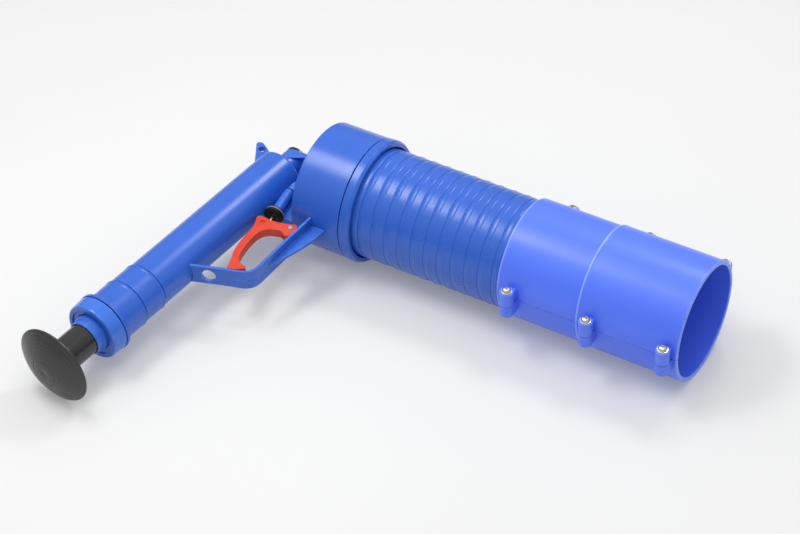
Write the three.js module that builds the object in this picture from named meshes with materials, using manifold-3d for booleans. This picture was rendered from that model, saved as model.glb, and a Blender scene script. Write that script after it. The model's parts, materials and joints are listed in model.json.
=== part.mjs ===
// Hand-pumped compressed-air drain blaster, lying on its side. Millimetres throughout.
// Design frame: barrel axis on +X (rear face of the drum at X = 0, muzzle at X = MUZZLE_X),
// pump axis in the XY plane leaning PUMP_LEAN degrees behind -Y, +Z up through the clamp screws.
// The last section turns that frame so the collar, the muzzle rim and the knob all touch Z = 0.
// Every turned profile lists [distance along the axis, radius]; every flat outline lists [x, y].
import * as THREE from "three";
import { mergeVertices } from "three/addons/utils/BufferGeometryUtils.js";
import Module from "manifold-3d";

const wasm = await Module();
wasm.setup();

// ---- driving dimensions ----
// _R is a radius, _X a station on the barrel axis, _S a station on the pump axis
const DRUM_R = 52.5, DRUM_L = 45.6, DRUM_WALL = 4.3, DRUM_BACK = 5;
const COLLAR_R = 53, COLLAR_X0 = 46, COLLAR_X1 = 55.2;
const MUZZLE_X = 350, MUZZLE_RIM_X = MUZZLE_X - 1.2;
const RIB_PITCH = 12.45, RIB_X0 = 59.8, RIB_COUNT = 12, RIB_TAPER = 0.5;
const RIB_R = 46.9, GROOVE_R = 46, BARREL_BORE = 42;
const SLEEVE_X0 = 191.8, SLEEVE_STEP_X = 262.5;
const SLEEVE_R1 = 48.9, SLEEVE_R2 = 50.1, SLEEVE_BORE1 = 47.1, SLEEVE_BORE2 = 46.4;
const MUZZLE_RIM_R = SLEEVE_R2 - 0.2;
const PUMP_X = -38.7, PUMP_LEAN = 5.96;
const TUBE_R = 20.7, TUBE_BORE = 17.9, TUBE_S0 = 6, TUBE_FLOOR_S = 10;
const CAP_S0 = 229.6, CAP_S1 = 242.6;
const ROD_R = 13.6, KNOB_R = 33.7, KNOB_S = 286.2, KNOB_RIM_S = KNOB_S - 0.4;
const NECK_R = 10.6, NECK_BORE = 6.5, NECK_END_S = -13.4;
const VALVE_AT = [-16, -44], VALVE_LEAN = 9, VALVE_R = 4.6, VALVE_CAP_R = 8.5;
// air passages run along X at height AIR_Z
const AIR_Z = -7.2, MAIN_PORT_Y = 5, MAIN_PORT_R = 2.2, SMALL_PORT_Y = -19;
const GUARD_HALF = 9, GUARD_T = 2.4;
const TRIGGER_HALF = 4, PIVOT = [8.6, -65.6];

// ---- finishes ----
const BLUE = { color: 0x2b55c8, roughness: 0.4 };
const BRIGHT_BLUE = { color: 0x4a6cf0, roughness: 0.4 };
const RED = { color: 0xe8482c, roughness: 0.4 };
const BLACK = { color: 0x2c2b2d, roughness: 0.4 };
const MATT_BLACK = { ...BLACK, roughness: 0.6 };
const RUBBER = { color: 0x1c1c1e, roughness: 0.8 };
const CLEAR = { color: 0xcfd4d6, roughness: 0.3 };
const STEEL = { color: 0xc9c9c6, roughness: 0.3, metalness: 0.9 };
const WASHER_STEEL = { ...STEEL, roughness: 0.25, metalness: 0.95 };
const SCREW_STEEL = { ...STEEL, roughness: 0.2, metalness: 0.95 };
const BRASS = { color: 0xb9a06a, roughness: 0.3, metalness: 0.9 };

// ---- frames: each carries local +Y onto a part's axis ----
const turnZ = (angle) => new THREE.Matrix4().makeRotationZ(angle);
const at = (x, y, z, frame) => new THREE.Matrix4().makeTranslation(x, y, z).multiply(frame);
const lean = THREE.MathUtils.degToRad(PUMP_LEAN);
const ALONG_X = turnZ(-Math.PI / 2);
const ALONG_Z = new THREE.Matrix4().makeRotationX(Math.PI / 2);
const PUMP = at(PUMP_X, 0, 0, turnZ(Math.PI - lean));
const VALVE = at(...VALVE_AT, 0, turnZ(Math.PI + THREE.MathUtils.degToRad(VALVE_LEAN)));
const AT_PIVOT = at(...PIVOT, 0, ALONG_Z);

// ---- solids ----
// weld a geometry into a closed solid, turned right side out
function solid(geometry) {
  const loose = geometry.index ? geometry.toNonIndexed() : geometry;
  const bare = new THREE.BufferGeometry();
  bare.setAttribute("position", loose.getAttribute("position"));
  const welded = mergeVertices(bare, 1e-4);
  const vertProperties = new Float32Array(welded.attributes.position.array);
  const corners = welded.index.array;
  const triangles = [];
  for (let i = 0; i < corners.length; i += 3) {
    const [a, b, c] = corners.subarray(i, i + 3);
    if (a !== b && b !== c && a !== c) triangles.push([a, b, c]);
  }
  const build = (list) => {
    const triVerts = new Uint32Array(list.flat());
    return new wasm.Manifold(new wasm.Mesh({ numProp: 3, vertProperties, triVerts }));
  };
  const body = build(triangles);
  return body.volume() >= 0 ? body : build(triangles.map(([a, b, c]) => [a, c, b]));
}

// a profile that doesn't start and end on the axis is closed into a ring
function lathe(profile, segments, frame) {
  const points = profile.map(([along, radius]) => new THREE.Vector2(radius, along));
  const onAxis = profile[0][1] === 0 && profile.at(-1)[1] === 0;
  if (!onAxis) points.push(points[0].clone());
  return solid(new THREE.LatheGeometry(points, segments).applyMatrix4(frame));
}

const rod = (start, end, radius, segments, frame) =>
  lathe([[start, 0], [start, radius], [end, radius], [end, 0]], segments, frame);

function prism(outline, z0, z1) {
  const shape = new THREE.Shape(outline.map(([x, y]) => new THREE.Vector2(x, y)));
  const geometry = new THREE.ExtrudeGeometry(shape, { depth: z1 - z0, bevelEnabled: false });
  return solid(geometry.translate(0, 0, z0));
}

function box([x0, x1], [y0, y1], [z0, z1]) {
  const geometry = new THREE.BoxGeometry(x1 - x0, y1 - y0, z1 - z0);
  return solid(geometry.translate((x0 + x1) / 2, (y0 + y1) / 2, (z0 + z1) / 2));
}

function ring(along, radius, cordRadius, segments, frame) {
  const geometry = new THREE.TorusGeometry(radius, cordRadius, 5, segments);
  return solid(geometry.rotateX(Math.PI / 2).translate(0, along, 0).applyMatrix4(frame));
}

function coil(start, end, radius, wireRadius, turns, frame) {
  const helix = new THREE.Curve();
  helix.getPoint = (t) => {
    const angle = 2 * Math.PI * turns * t;
    const along = start + wireRadius + (end - start - 2 * wireRadius) * t;
    return new THREE.Vector3(radius * Math.cos(angle), along, radius * Math.sin(angle));
  };
  const section = [];
  for (let i = 0; i < 5; i++) {
    const angle = (i * 2 * Math.PI) / 5;
    section.push(new THREE.Vector2(wireRadius * Math.cos(angle), wireRadius * Math.sin(angle)));
  }
  const geometry = new THREE.ExtrudeGeometry(new THREE.Shape(section), {
    steps: turns * 9,
    extrudePath: helix,
    bevelEnabled: false,
  });
  return solid(geometry.applyMatrix4(frame));
}

// air passage parallel to X, from x0 to x1
const port = (x0, x1, y, radius, segments) =>
  rod(x0, x1, radius, segments, at(0, y, AIR_Z, ALONG_X));

const largestPart = (body) => body.decompose().sort((a, b) => b.volume() - a.volume())[0];

const gun = new THREE.Group();

function put(name, finish, body) {
  const { vertProperties, triVerts } = body.getMesh();
  const geometry = new THREE.BufferGeometry();
  geometry.setAttribute("position", new THREE.Float32BufferAttribute(vertProperties, 3));
  geometry.setIndex(new THREE.Uint32BufferAttribute(triVerts, 1));
  geometry.computeVertexNormals();
  const material = new THREE.MeshStandardMaterial({ ...finish, flatShading: true });
  const mesh = new THREE.Mesh(geometry, material);
  mesh.name = name;
  gun.add(mesh);
}

const putTurned = (name, finish, segments, frame, profile) =>
  put(name, finish, lathe(profile, segments, frame));

// ---- rear drum (air release housing) ----
const DRUM_BORE = DRUM_R - DRUM_WALL;
const drum = lathe([
  [0, 0], [0, 50.9], [1.5, DRUM_R], [DRUM_L, DRUM_R],
  [DRUM_L, DRUM_BORE], [DRUM_BACK, DRUM_BORE], [DRUM_BACK, 0],
], 36, ALONG_X);
const drumMainPort = port(-2, 8, MAIN_PORT_Y, 2.6, 16);
const drumSmallPort = port(-2, 8, SMALL_PORT_Y, 1.6, 12);
put("rear_housing", BLUE, drum.subtract(drumMainPort).subtract(drumSmallPort));

putTurned("union_collar", BLUE, 36, ALONG_X, [
  [37.4, 44.1], [37.4, 47.7], [COLLAR_X0, 47.7], [COLLAR_X0, COLLAR_R - 0.3],
  [46.5, COLLAR_R], [52.8, COLLAR_R], [54.7, 51.8], [COLLAR_X1, 50.6], [COLLAR_X1, 48.5],
  [54.5, 47.9], [48.4, 47.9], [48.4, 46.2], [46.8, 44.1],
]);

// ---- ribbed barrel: grooved rear spigot, tapering ribs, plain front ----
const barrelProfile = [
  [31, BARREL_BORE], [31, 47.6], [32.6, 47.6], [32.6, 46], [35.2, 46], [35.2, 47.6],
  [36.9, 47.6], [36.9, 43.6], [47.2, 43.6], [48.8, 45.2], [54.6, 45.2], [55.4, 46.4],
];
for (let i = 0; i < RIB_COUNT; i++) {
  const x = RIB_X0 + i * RIB_PITCH;
  const drop = (RIB_TAPER * i) / (RIB_COUNT - 1);
  barrelProfile.push(
    [x, GROOVE_R - drop], [x + 1.7, RIB_R - 0.25 - drop],
    [x + 5, RIB_R - drop], [x + 9.4, RIB_R - 0.3 - drop],
  );
}
barrelProfile.push(
  [RIB_X0 + RIB_COUNT * RIB_PITCH, 45], [299, 45], [300, 44.2], [300, BARREL_BORE],
);
putTurned("ribbed_barrel", BLUE, 28, ALONG_X, barrelProfile);
put("housing_oring", RUBBER, ring(33.9, 46.95, 0.8, 28, ALONG_X));

putTurned("outlet_tube", BLACK, 24, ALONG_X, [
  [28.6, 18], [28.6, 19.6], [29.6, 20.5], [296.5, 20.5], [296.5, 18],
]);
putTurned("barrel_plug", BLUE, 28, ALONG_X, [
  [288, 21], [288, 41.5], [292.4, 41.5], [292.4, 39.7], [295.2, 39.7], [295.2, 41.5],
  [300.4, 41.5], [300.4, 45], [304.2, 45], [305, 44.2], [305, 18], [297, 18], [297, 21],
]);
put("plug_oring", RUBBER, ring(293.8, 40.75, 0.85, 28, ALONG_X));

// ---- quick-release piston in the drum, with its ring, pad and spring ----
putTurned("release_piston", BLACK, 36, ALONG_X, [
  [14.2, 0], [14.2, 12.5], [11, 12.5], [11, 47.5], [13.2, 47.5], [13.2, 45.6],
  [15.8, 45.6], [15.8, 47.5], [18.5, 47.5], [18.5, 24], [23.8, 23], [23.8, 0],
]);
put("release_piston_oring", RUBBER, ring(14.5, 46.62, 0.85, 36, ALONG_X));
putTurned("release_pad", RUBBER, 24, ALONG_X, [
  [24, 0], [24, 22.2], [27.6, 22.2], [28.3, 21.4], [28.3, 0],
]);
put("release_spring", STEEL, coil(5.4, 13.9, 9, 0.75, 3, ALONG_X));

// ---- two-half clamp sleeve, split at Z = 0, with screw lugs down both sides ----
const LUG_XS = [204.9, 274.5, 340.6];
const LUG_ROWS = [{ side: "near", y: -55.8 }, { side: "far", y: 54.2 }];
const LUG_R = 5.8, LUG_H = 13, LUG_D = 11.5, LUG_ROOT_Y = 44;
const SCREW_R = 2, NUT_TOP = -8.2, NUT_H = 3;
const SPLIT_HALF_GAP = 0.12;
const SLEEVE_SPAN_X = [180, 360]; // clears both ends of the sleeve
const sleeveProfile = [
  [SLEEVE_X0, SLEEVE_BORE1], [SLEEVE_X0, SLEEVE_R1 - 0.5], [SLEEVE_X0 + 0.6, SLEEVE_R1],
  [SLEEVE_STEP_X - 0.2, SLEEVE_R1], [SLEEVE_STEP_X + 0.6, SLEEVE_R2],
  [MUZZLE_RIM_X, MUZZLE_RIM_R], [MUZZLE_X, SLEEVE_R2 - 0.8],
  [MUZZLE_X, SLEEVE_BORE2 + 0.2], [MUZZLE_X - 0.8, SLEEVE_BORE2],
  [SLEEVE_STEP_X + 3, SLEEVE_BORE2], [SLEEVE_STEP_X + 1.5, SLEEVE_BORE1],
];
const lowerBossProfile = [
  [-LUG_D, 0], [-LUG_D, LUG_R - 1], [0.8 - LUG_D, LUG_R - 0.3], [1.8 - LUG_D, LUG_R],
  [-SPLIT_HALF_GAP, LUG_R], [-SPLIT_HALF_GAP, 0],
];

// round boss joined to the sleeve by a block; the lower one has a hexagonal nut pocket
function sleeveLug(isUpper, x, y) {
  const frame = at(x, y, 0, ALONG_Z);
  const blockZ = isUpper ? [SPLIT_HALF_GAP, LUG_H] : [1.5 - LUG_D, -SPLIT_HALF_GAP];
  const root = Math.sign(y) * LUG_ROOT_Y;
  const block = box([x - LUG_R, x + LUG_R], [Math.min(y, root), Math.max(y, root)], blockZ);
  if (isUpper) return rod(...blockZ, LUG_R, 16, frame).add(block);
  const nutPocket = rod(-20, NUT_TOP + 0.15, 4.35, 6, frame);
  return lathe(lowerBossProfile, 16, frame).add(block).subtract(nutPocket);
}

function sleeveHalf(isUpper) {
  const keptZ = isUpper ? [SPLIT_HALF_GAP, 70] : [-70, -SPLIT_HALF_GAP];
  let half = lathe(sleeveProfile, 40, ALONG_X).intersect(box(SLEEVE_SPAN_X, [-70, 70], keptZ));
  const bore = rod(...SLEEVE_SPAN_X, SLEEVE_BORE1 + 0.2, 40, ALONG_X);
  for (const x of LUG_XS) {
    for (const { y } of LUG_ROWS) {
      const screwHole = rod(-20, 20, SCREW_R + 0.25, 10, at(x, y, 0, ALONG_Z));
      half = half.add(sleeveLug(isUpper, x, y).subtract(bore)).subtract(screwHole);
    }
  }
  return half;
}
put("sleeve_upper", BRIGHT_BLUE, sleeveHalf(true));
put("sleeve_lower", BRIGHT_BLUE, sleeveHalf(false));

function putFasteners(id, frame) {
  const washerZ = LUG_H + 0.1;
  const washerTop = LUG_H + 0.9;
  putTurned("washer_" + id, WASHER_STEEL, 12, frame, [
    [washerZ, 2.3], [washerZ, 4.7], [washerTop, 4.7], [washerTop, 2.3],
  ]);
  const headZ = LUG_H + 1;
  const screw = lathe([
    [-LUG_D - 0.3, 0], [-LUG_D - 0.3, 1.5], [0.2 - LUG_D, SCREW_R], [headZ, SCREW_R],
    [headZ, 3.65], [headZ + 0.9, 3.65], [headZ + 1.9, 2.9], [headZ + 2.5, 0],
  ], 10, frame);
  const hexSocket = rod(headZ + 1, headZ + 4, 1.45, 6, frame);
  put("screw_" + id, SCREW_STEEL, screw.subtract(hexSocket));
  const nutHole = rod(-LUG_D - 5, 2, SCREW_R + 0.15, 10, frame);
  put("nut_" + id, STEEL, rod(NUT_TOP - NUT_H, NUT_TOP, 4.04, 6, frame).subtract(nutHole));
}
LUG_XS.forEach((x, i) => {
  for (const { side, y } of LUG_ROWS) putFasteners(`${side}_${i + 1}`, at(x, y, 0, ALONG_Z));
});

// ---- pump; stations run from the barrel axis towards the knob ----
function gripTube() {
  const body = lathe([
    [TUBE_S0, 0], [TUBE_S0, 18.2], [TUBE_S0 + 0.8, 19.7], [TUBE_S0 + 2.8, TUBE_R],
    [178.7, TUBE_R], [179.2, TUBE_R + 0.9], [181, TUBE_R + 0.7], [201.7, TUBE_R + 0.6],
    [202.2, TUBE_R + 1.4], [204, TUBE_R + 1.2], [226, TUBE_R + 1.1], [226, 25.2],
    [226.6, 25.7], [229.2, 25.7], [229.2, 21.5], [238.5, 21.5], [238.5, TUBE_BORE],
    [TUBE_FLOOR_S, TUBE_BORE], [TUBE_FLOOR_S, 0],
  ], 28, PUMP);
  // flat plate on the -X side, with a round hole
  const plateHole = rod(-5, 5, 3.2, 14, at(-68, 8.6, 0, ALONG_Z));
  const plate = prism([
    [-50.7, -9], [-50.7, 2.2], [-55, 5.2], [-62.1, 9.9], [-70.8, 15.7], [-72.6, 16.4],
    [-74.6, 16.2], [-76.2, 15.2], [-76.8, 13.2], [-65.5, -6.6], [-58, -19.8], [-52, -19.8],
  ], -2.2, 2.2).subtract(plateHole);
  const hollow = rod(TUBE_FLOOR_S, 240, TUBE_BORE, 28, PUMP);
  const floorHole = rod(2, 14, 3.4, 14, PUMP);
  // short raised arc on the +Z side, just before the flange
  const arc = lathe([[222.6, 20.5], [222.6, 22.7], [225, 22.7], [225, 20.5]], 28, PUMP)
    .intersect(box([-90, -40], [-250, -200], [19.4, 30]));
  return body.add(plate).subtract(hollow).subtract(floorHole).add(arc);
}
put("grip_tube", BLUE, gripTube());
putTurned("pump_end_cap", BLUE, 28, PUMP, [
  [CAP_S0, 22.1], [CAP_S0, 24.9], [230.3, 25.4], [240.4, 24.6], [241.8, 23.7],
  [CAP_S1, 22.4], [CAP_S1, 20.4], [240.9, 19.8], [240.9, 16.6], [239.2, 16.6], [239.2, 22.1],
]);
putTurned("gland_collar", BLUE, 28, PUMP, [
  [231, 13.9], [231, 17.5], [238.9, 17.5], [238.9, 16.2], [244.6, 16.2], [244.9, 15.3],
  [250.4, 14.9], [251.1, 14.5], [251.1, 13.9],
]);
putTurned("pump_rod", BLACK, 28, PUMP, [
  [38, 3.3], [38, ROD_R], [278, ROD_R], [284.1, ROD_R + 0.9], [284.1, 11.2],
  [42, 11.2], [42, 3.3],
]);
putTurned("pump_knob", MATT_BLACK, 32, PUMP, [
  [297.2, 0], [297.8, 2.4], [297.6, 4.6], [296.7, 11], [294.6, 18], [291.4, 25.2],
  [288.3, 30.6], [KNOB_S + 0.4, 33.3], [KNOB_RIM_S, KNOB_R], [KNOB_S - 1.5, 33.2],
  [284.5, 32], [286.2, 28], [287.6, 21], [287.4, 15.8], [284.4, 14.8], [284.4, 10.9],
  [272, 10.9], [272, 0],
]);
putTurned("pump_piston", BLACK, 28, PUMP, [
  [26, 3.3], [26, 16.6], [26.8, 17.3], [29, 17.3], [29, 15.2], [33.2, 15.2],
  [33.2, 17.3], [37.8, 17.3], [37.8, 3.3],
]);
putTurned("piston_cup_seal", RUBBER, 28, PUMP, [
  [29.2, 15.4], [29.2, 17.75], [30.6, 17.75], [33, 16.9], [33, 15.4],
]);
putTurned("piston_screw", STEEL, 12, PUMP, [
  [22.6, 0], [22.6, 4.4], [23.6, 5.8], [25.8, 5.8], [25.8, 3], [47.5, 3], [47.5, 0],
]);
const pistonNutHole = rod(40, 50, 3.15, 12, PUMP);
put("piston_nut", STEEL, rod(42.2, 46.4, 5.7, 6, PUMP).subtract(pistonNutHole));

// ---- one-way valve in the neck beyond the tube ----
function checkValveHousing() {
  const neck = lathe([
    [5.8, 3.6], [5.8, NECK_R + 0.3], [NECK_END_S, NECK_R], [NECK_END_S, NECK_BORE],
    [2.2, NECK_BORE], [2.2, 3.6],
  ], 20, PUMP);
  // web from the neck's crest across to the drum
  const web = prism([
    [-38.8, 0.3], [-25.3, 7.6], [-0.5, 7.6], [-0.5, 13], [-37.6, 13], [-41, 6], [-40.6, 1.4],
  ], 9.4, 10.9).subtract(rod(2.2, NECK_END_S, NECK_BORE, 20, PUMP));
  return neck.subtract(port(-33, -3, MAIN_PORT_Y, MAIN_PORT_R, 12)).add(web);
}
put("check_valve_housing", BLUE, checkValveHousing());
putTurned("check_valve_cap", BLACK, 20, PUMP, [
  [-9.4, 0], [-9.4, 6.2], [-13.6, 6.2], [-13.6, 10.9], [-15.6, 10.9], [-16.2, 10.2],
  [-16.2, 0],
]);
putTurned("check_poppet", RUBBER, 12, PUMP, [
  [1.9, 0], [1.9, 5.4], [0.2, 5.4], [-0.6, 2.2], [-4.6, 2], [-4.6, 0],
]);
put("check_spring", STEEL, coil(-9.2, -0.3, 3.7, 0.45, 4, PUMP));

// ---- duct between neck and drum ----
const DUCT_X1 = -0.3, DUCT_Y0 = -24.3;
const tubeClearance = rod(5.6, 60, TUBE_R + 0.35, 28, PUMP);

function transferDuct() {
  const block = prism([[DUCT_X1, DUCT_Y0], [DUCT_X1, 15.5], [-32, 15.5], [-32, DUCT_Y0]], -12, -3.6);
  const step = prism([[DUCT_X1, DUCT_Y0], [DUCT_X1, -15], [-21.5, -15], [-21.5, DUCT_Y0]], -6, 4);
  const foot = box([-20, DUCT_X1], [-50.4, -22], [-12, -5]);
  const duct = block.add(step).add(foot)
    .subtract(tubeClearance)
    .subtract(rod(-30, 6, NECK_R + 0.65, 20, PUMP))
    .subtract(port(-34, 2, MAIN_PORT_Y, MAIN_PORT_R, 12))
    .subtract(port(-12, 2, SMALL_PORT_Y, 1.5, 10));
  return largestPart(duct);
}
put("transfer_duct", BLUE, transferDuct());

// ---- release valve beside the pump tube; stations run from VALVE_AT towards the trigger ----
const valveTube = lathe([
  [-18.4, 1], [-18.4, VALVE_R], [10.1, VALVE_R], [10.1, 3.1], [-6, 3.1], [-6, 1],
], 16, VALVE);
put("valve_tube", BLUE, valveTube.subtract(tubeClearance));
putTurned("valve_cap_nut", BLACK, 18, VALVE, [
  [8.8, 4.95], [8.8, 7.9], [9.3, VALVE_CAP_R], [9.8, VALVE_CAP_R], [9.8, 7.4], [11.2, 7.4],
  [11.2, VALVE_CAP_R], [13.2, VALVE_CAP_R], [14.5, 6.2], [14.5, 2.05], [10.4, 2.05],
  [10.4, 4.95],
]);
put("valve_oring", CLEAR, ring(10.5, 8.1, 0.58, 18, VALVE));
putTurned("valve_stem", BRASS, 12, VALVE, [
  [1, 0], [1, 2.8], [3.2, 2.8], [3.6, 1.75], [19.4, 1.75], [20.3, 1], [20.45, 0],
]);
put("valve_spring", STEEL, coil(-5.8, 0.8, 2.2, 0.4, 4, VALVE));

// ---- trigger and pin ----
const triggerOutline = [
  [10.4, -60.6], [5.5, -62.2], [2, -63.2], [-2.2, -64.2], [-6.5, -65], [-11.5, -65.1],
  [-16, -64.7], [-20, -64.3], [-22.2, -65.2], [-23, -67.6], [-21.6, -71.5], [-19.8, -76.5],
  [-18.9, -82], [-18.9, -90], [-18.6, -98.5], [-17.6, -106.8], [-15.6, -114.4], [-13, -121],
  [-11.2, -126.4], [-10.9, -130.2], [-6.5, -130], [-1, -127.6], [2.4, -125.4], [3.2, -123.4],
  [1.6, -121.8], [-1.5, -121.2], [-5.4, -119.6], [-8, -116.2], [-9.9, -111.8],
  [-11.4, -103.6], [-12, -94.1], [-11.8, -86.4], [-10.1, -80.2], [-6.5, -76.2],
  [-2.5, -74.2], [1.8, -73], [5, -73.4], [8, -75.2], [10.8, -76], [12.7, -74.6],
  [13.8, -69.8], [14, -64.5], [12.8, -61.6],
];
const triggerPinHole = rod(-6, 6, 2.1, 16, AT_PIVOT);
const triggerDimple = rod(2.6, 6, 2.1, 14, at(-15.6, -70.2, 0, ALONG_Z));
const triggerSlot = box([5.6, 9], [-79, -71.6], [-1.6, 1.6]);
put("trigger", RED, prism(triggerOutline, -TRIGGER_HALF, TRIGGER_HALF)
  .subtract(triggerPinHole).subtract(triggerDimple).subtract(triggerSlot));
putTurned("trigger_pin", STEEL, 16, AT_PIVOT, [
  [-8.6, 0], [-8.6, 3.4], [-7.7, 3.4], [-7.7, 2], [4.3, 2], [4.7, 1.6], [4.7, 0],
]);

// ---- trigger guard: a bent strip, a stiffening fin and a cheek at the pivot ----
const guardPath = [
  [-44, -149.2], [-31, -144.6], [-20.5, -141.2], [-8, -137.2], [4, -133.8], [9.2, -131.6],
  [12.6, -128.4], [14.4, -123.6], [15.1, -115], [16, -100], [17, -84], [18.2, -68],
  [19.6, -48],
];

// outline of a strip of even thickness centred on a path
function stripOutline(path, thickness) {
  const left = [], right = [];
  path.forEach(([x, y], i) => {
    const [x0, y0] = path[Math.max(i - 1, 0)];
    const [x1, y1] = path[Math.min(i + 1, path.length - 1)];
    const scale = thickness / 2 / Math.hypot(x1 - x0, y1 - y0);
    const offsetX = (y1 - y0) * scale;
    const offsetY = (x1 - x0) * scale;
    left.push([x - offsetX, y + offsetY]);
    right.push([x + offsetX, y - offsetY]);
  });
  return right.concat(left.reverse());
}

function triggerGuard() {
  const strip = prism(stripOutline(guardPath, GUARD_T), -GUARD_HALF, GUARD_HALF);
  const fin = prism([
    [15.8, -113], [20.6, -102], [24.6, -90], [30.6, -72], [33.8, -48], [18.6, -48],
  ], -1.3, 1.3);
  const cheek = prism([
    [18.6, -58.5], [17.4, -76.5], [9.4, -72.6], [4.6, -68.6], [4.4, -62.8], [9.2, -60.2],
  ], -7.5, -4.4);
  // round hole square to the sloping leg
  const [, [x0, y0], , [x1, y1]] = guardPath;
  const legHole = rod(-6, 6, 5.9, 20, at(-20.6, -141.2, 0, turnZ(Math.atan2(y1 - y0, x1 - x0))));
  return largestPart(strip.add(fin).add(cheek)
    .subtract(legHole)
    .subtract(rod(5, 240, TUBE_R + 0.3, 28, PUMP))
    .subtract(rod(-5, DRUM_L + 8, DRUM_R + 0.3, 36, ALONG_X))
    .subtract(rod(-12, 6, 2.08, 16, AT_PIVOT)));
}
put("trigger_guard", BLUE, triggerGuard());

// ---- lay the gun down on the collar, muzzle and knob rims ----
const BARREL_DIR = new THREE.Vector3(1, 0, 0);
const PUMP_DIR = new THREE.Vector3(-Math.sin(lean), -Math.cos(lean), 0);
const onBarrel = (x) => new THREE.Vector3(x, 0, 0);
const collarRim = { centre: onBarrel(50), axis: BARREL_DIR, radius: COLLAR_R };
const muzzleRim = { centre: onBarrel(MUZZLE_RIM_X), axis: BARREL_DIR, radius: MUZZLE_RIM_R };
const knobCentre = onBarrel(PUMP_X).addScaledVector(PUMP_DIR, KNOB_RIM_S);
const knobRim = { centre: knobCentre, axis: PUMP_DIR, radius: KNOB_R };

const upVector = (x, y) => new THREE.Vector3(x, y, Math.sqrt(1 - x * x - y * y));

// height of a rim's lowest point when `up` is vertical
const lowest = (up, { centre, axis, radius }) =>
  up.dot(centre) - radius * Math.sqrt(Math.max(0, 1 - up.dot(axis) ** 2));

// how far the muzzle and knob rims stand above the collar rim
function gaps(x, y) {
  const up = upVector(x, y);
  const base = lowest(up, collarRim);
  return [lowest(up, muzzleRim) - base, lowest(up, knobRim) - base];
}

// Newton's method on the x and y of the up direction, until both gaps close
function restingUp() {
  const nudge = 1e-6;
  let x = 0;
  let y = 0.07 / Math.hypot(0.07, 1);
  for (let i = 0; i < 30; i++) {
    const [muzzle, knob] = gaps(x, y);
    const slopes = (moved) => [(moved[0] - muzzle) / nudge, (moved[1] - knob) / nudge];
    const [muzzleByX, knobByX] = slopes(gaps(x + nudge, y));
    const [muzzleByY, knobByY] = slopes(gaps(x, y + nudge));
    const det = muzzleByX * knobByY - muzzleByY * knobByX;
    x -= (knobByY * muzzle - muzzleByY * knob) / det;
    y -= (muzzleByX * knob - knobByX * muzzle) / det;
  }
  return upVector(x, y);
}

const up = restingUp();
const forward = BARREL_DIR.clone().addScaledVector(up, -BARREL_DIR.dot(up)).normalize();
const across = new THREE.Vector3().crossVectors(up, forward);
const pose = new THREE.Matrix4().makeBasis(forward, across, up).transpose();

// the middle of the footprint is the origin, and the lowest vertex is at zero
const bounds = new THREE.Box3();
const vertex = new THREE.Vector3();
for (const { geometry } of gun.children) {
  const { position } = geometry.attributes;
  for (let i = 0; i < position.count; i++) {
    bounds.expandByPoint(vertex.fromBufferAttribute(position, i).applyMatrix4(pose));
  }
}
const middle = bounds.getCenter(new THREE.Vector3());
pose.premultiply(new THREE.Matrix4().makeTranslation(-middle.x, -middle.y, -bounds.min.z));

const rest = new THREE.Group();
rest.add(gun);
gun.matrixAutoUpdate = false;
gun.matrix.copy(pose);
rest.updateMatrixWorld(true);

export default rest;
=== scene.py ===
# Looks for a hand-pumped drain blaster. Shapes are laid out in a design frame in millimetres:
# the barrel axis is X, from the rear housing at 0 to the muzzle, the pump axis lies in the
# XY plane and Z runs along the clamp screws. The joint axes in the record place the frame.
import json
import math
import bmesh
import bpy
from mathutils import Matrix, Vector


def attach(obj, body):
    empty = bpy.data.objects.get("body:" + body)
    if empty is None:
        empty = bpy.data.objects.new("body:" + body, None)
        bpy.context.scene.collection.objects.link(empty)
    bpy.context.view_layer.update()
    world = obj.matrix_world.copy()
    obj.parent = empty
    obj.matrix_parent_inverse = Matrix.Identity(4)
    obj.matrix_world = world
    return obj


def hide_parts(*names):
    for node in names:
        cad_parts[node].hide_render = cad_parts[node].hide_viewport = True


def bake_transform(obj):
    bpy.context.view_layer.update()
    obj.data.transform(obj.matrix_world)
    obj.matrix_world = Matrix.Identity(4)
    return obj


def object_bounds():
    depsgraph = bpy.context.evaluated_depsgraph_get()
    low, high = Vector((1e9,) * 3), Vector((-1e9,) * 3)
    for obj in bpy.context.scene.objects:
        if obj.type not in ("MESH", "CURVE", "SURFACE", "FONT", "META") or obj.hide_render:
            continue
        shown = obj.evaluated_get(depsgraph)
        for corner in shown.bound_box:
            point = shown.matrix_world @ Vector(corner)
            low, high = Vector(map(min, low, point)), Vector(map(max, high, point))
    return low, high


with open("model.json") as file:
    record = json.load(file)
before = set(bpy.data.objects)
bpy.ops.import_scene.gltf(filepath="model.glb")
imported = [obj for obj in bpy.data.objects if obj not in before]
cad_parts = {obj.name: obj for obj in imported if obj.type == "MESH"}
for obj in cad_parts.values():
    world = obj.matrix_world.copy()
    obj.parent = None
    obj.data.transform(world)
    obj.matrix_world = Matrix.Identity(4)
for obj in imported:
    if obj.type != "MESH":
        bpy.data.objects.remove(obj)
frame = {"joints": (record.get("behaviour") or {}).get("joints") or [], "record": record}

CAD_LO, CAD_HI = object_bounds()
record = frame["record"]
BODY = {node: body for body, nodes in record["behaviour"]["bodies"].items() for node in nodes}

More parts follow.
